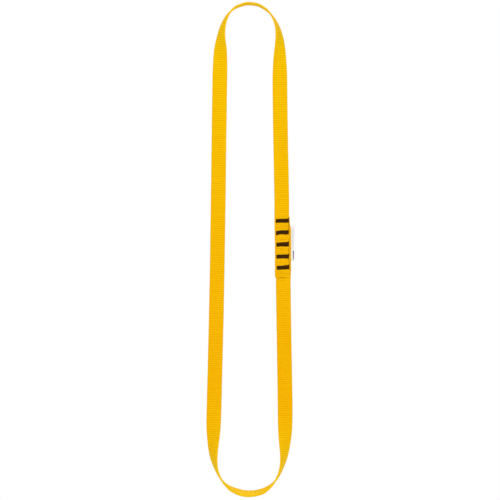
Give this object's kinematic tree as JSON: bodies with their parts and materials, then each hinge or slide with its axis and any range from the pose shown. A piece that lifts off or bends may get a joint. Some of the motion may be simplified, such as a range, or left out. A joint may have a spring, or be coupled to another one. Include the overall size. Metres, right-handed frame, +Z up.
{
  "type": "webbing sling",
  "caption": "Endless flat webbing sling: ribbed strap lapped on itself, closed with dark bar tacks, with a small side label, forming a long narrow loop.",
  "frame": {"origin": "bearing point on the inner face at the crown of the top bight", "axes": "+Z up along the sling as it hangs from the top bight; +X to the right, the side with the splice; the flat faces of the two strands look along -Y and +Y"},
  "size_m": [0.1009, 0.0281, 0.5636],
  "materials": {
    "webbing": "woven, ribbed across its width, slight sheen",
    "stitching": "filament thread, slight sheen",
    "label": null
  },
  "bodies": {
    "top_bight": {"top_bight_webbing": "webbing"},
    "top_right_shoulder": {"top_right_shoulder_webbing": "webbing"},
    "top_left_shoulder": {"top_left_shoulder_webbing": "webbing"},
    "right_upper": {"right_upper_webbing": "webbing"},
    "splice": {"splice_front_ply": "webbing", "splice_rear_ply": "webbing", "label_sewn_edge": "label", "bar_tack_1_needle_thread": "stitching", "bar_tack_1_bobbin_thread": "stitching", "bar_tack_2_needle_thread": "stitching", "bar_tack_2_bobbin_thread": "stitching", "bar_tack_3_needle_thread": "stitching", "bar_tack_3_bobbin_thread": "stitching", "bar_tack_4_needle_thread": "stitching", "bar_tack_4_bobbin_thread": "stitching", "bar_tack_5_needle_thread": "stitching", "bar_tack_5_bobbin_thread": "stitching"},
    "label_flag": {"label_flag": "label"},
    "right_lower": {"right_lower_webbing": "webbing"},
    "right_foot": {"right_foot_webbing": "webbing"},
    "bottom_right_shoulder": {"bottom_right_shoulder_webbing": "webbing"},
    "bottom_bight": {"bottom_bight_webbing": "webbing"},
    "bottom_left_shoulder": {"bottom_left_shoulder_webbing": "webbing"},
    "left_foot": {"left_foot_webbing": "webbing"},
    "left_lower": {"left_lower_webbing": "webbing"},
    "left_middle_below_seam": {"left_middle_lower_webbing": "webbing"},
    "left_middle_above_seam": {"left_middle_upper_webbing": "webbing"},
    "left_upper": {"left_upper_webbing": "webbing"}
  },
  "joints": [
    {"name": "loop_spread", "type": "hinge", "parent": "top_bight", "child": "top_right_shoulder", "pos_m": [0.00985, 0, -0.0005], "axis": [0, -1, 0], "range_deg": [-15, 20], "stiffness_Nm_per_rad": 0.25},
    {"name": "right_strand_stays_upright", "type": "hinge", "parent": "top_right_shoulder", "child": "right_upper", "pos_m": [0.03495, 0, -0.0865], "axis": [0, 1, 0], "range_deg": [-15, 20], "stiffness_Nm_per_rad": 0.25},
    {"name": "left_spread", "type": "hinge", "parent": "top_bight", "child": "top_left_shoulder", "pos_m": [-0.00855, 0, -0.0005], "axis": [0, 1, 0], "range_deg": [-15, 20], "stiffness_Nm_per_rad": 0.25},
    {"name": "left_strand_stays_upright", "type": "hinge", "parent": "top_left_shoulder", "child": "left_upper", "pos_m": [-0.03365, 0, -0.0865], "axis": [0, -1, 0], "range_deg": [-15, 20], "stiffness_Nm_per_rad": 0.25},
    {"name": "upper_fold", "type": "hinge", "parent": "right_upper", "child": "splice", "pos_m": [0.0358, 0, -0.156], "axis": [1, 0, 0], "range_deg": [-150, 150], "stiffness_Nm_per_rad": 0.006},
    {"name": "middle_fold", "type": "hinge", "parent": "splice", "child": "right_lower", "pos_m": [0.03891, 0, -0.328], "axis": [-1, 0, 0], "range_deg": [-150, 150], "stiffness_Nm_per_rad": 0.006},
    {"name": "lower_fold", "type": "hinge", "parent": "right_lower", "child": "right_foot", "pos_m": [0.04002, 0, -0.399], "axis": [1, 0, 0], "range_deg": [-150, 150], "stiffness_Nm_per_rad": 0.006},
    {"name": "bottom_right_spread", "type": "hinge", "parent": "right_foot", "child": "bottom_right_shoulder", "pos_m": [0.04097, 0, -0.4696], "axis": [0, 1, 0], "range_deg": [-15, 20], "stiffness_Nm_per_rad": 0.25},
    {"name": "bottom_bight_right_pivot", "type": "hinge", "parent": "bottom_right_shoulder", "child": "bottom_bight", "pos_m": [0.01587, 0, -0.5556], "axis": [0, -1, 0], "range_deg": [-15, 20], "stiffness_Nm_per_rad": 0.25},
    {"name": "bottom_bight_left_pivot", "type": "hinge", "parent": "bottom_bight", "child": "bottom_left_shoulder", "pos_m": [-0.0154, 0, -0.5556], "axis": [0, -1, 0], "range_deg": [-15, 20], "stiffness_Nm_per_rad": 0.25},
    {"name": "bottom_left_spread", "type": "hinge", "parent": "bottom_left_shoulder", "child": "left_foot", "pos_m": [-0.0405, 0, -0.4696], "axis": [0, 1, 0], "range_deg": [-15, 20], "stiffness_Nm_per_rad": 0.25},
    {"name": "left_lower_fold", "type": "hinge", "parent": "left_foot", "child": "left_lower", "pos_m": [-0.03871, 0, -0.399], "axis": [-1, 0, 0], "range_deg": [-150, 150], "stiffness_Nm_per_rad": 0.006},
    {"name": "left_middle_fold", "type": "hinge", "parent": "left_lower", "child": "left_middle_below_seam", "pos_m": [-0.03715, 0, -0.328], "axis": [1, 0, 0], "range_deg": [-150, 150], "stiffness_Nm_per_rad": 0.006},
    {"name": "left_upper_fold", "type": "hinge", "parent": "left_upper", "child": "left_middle_above_seam", "pos_m": [-0.03465, 0, -0.156], "axis": [1, 0, 0], "range_deg": [-150, 150], "stiffness_Nm_per_rad": 0.006},
    {"name": "label_flap", "type": "hinge", "parent": "splice", "child": "label_flag", "pos_m": [0.0481, 0.00214, -0.2729], "axis": [0, 0, 1], "range_deg": [-168, 72], "stiffness_Nm_per_rad": 0.002}
  ],
  "couplings": [
    {"joint": "right_strand_stays_upright", "follows": "loop_spread", "ratio": 1},
    {"joint": "left_spread", "follows": "loop_spread", "ratio": 1},
    {"joint": "left_strand_stays_upright", "follows": "loop_spread", "ratio": 1},
    {"joint": "bottom_right_spread", "follows": "loop_spread", "ratio": 1},
    {"joint": "bottom_bight_right_pivot", "follows": "loop_spread", "ratio": 1},
    {"joint": "bottom_bight_left_pivot", "follows": "loop_spread", "ratio": 1},
    {"joint": "bottom_left_spread", "follows": "loop_spread", "ratio": 1},
    {"joint": "left_upper_fold", "follows": "upper_fold", "ratio": 1},
    {"joint": "left_middle_fold", "follows": "middle_fold", "ratio": 1},
    {"joint": "left_lower_fold", "follows": "lower_fold", "ratio": 1}
  ]
}
